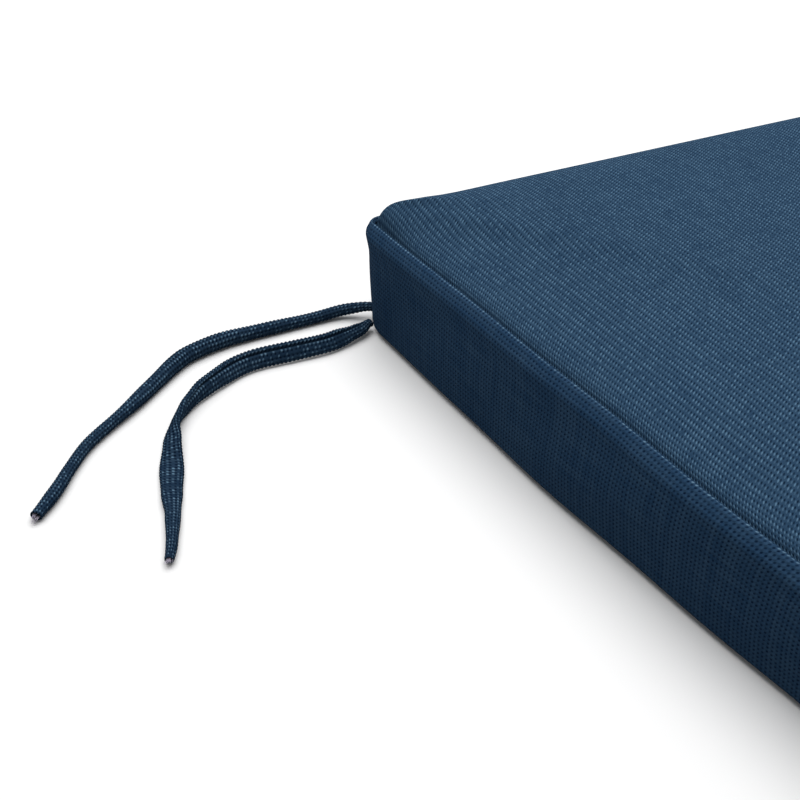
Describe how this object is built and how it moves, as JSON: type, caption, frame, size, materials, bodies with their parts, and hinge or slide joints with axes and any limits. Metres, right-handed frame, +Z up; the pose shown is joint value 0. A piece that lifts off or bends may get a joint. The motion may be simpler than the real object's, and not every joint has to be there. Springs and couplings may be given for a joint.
{
  "type": "bench cushion",
  "caption": "Rectangular boxed bench cushion with a crowned top panel, a boxing band with rolled seams, rounded corners and cloth ties at the back corners.",
  "frame": {"origin": "under the middle of the cushion, on the surface that it lies on", "axes": "+X along the long side, +Y towards the back edge with the ties, +Z up out of the crowned top panel"},
  "size_m": [1.5612, 0.4708, 0.0648],
  "materials": {
    "panel_cloth": "two-tone navy plain weave",
    "band_cloth": "the same navy weave, seen side on",
    "tie_cloth": "the same navy weave, sewn into a narrow tube"
  },
  "bodies": {
    "root": {"cushion": "panel_cloth", "boxing_band": "band_cloth", "tie_left_upper": "tie_cloth", "tie_left_lower": "tie_cloth", "tie_right_upper": "tie_cloth", "tie_right_lower": "tie_cloth"}
  },
  "joints": []
}
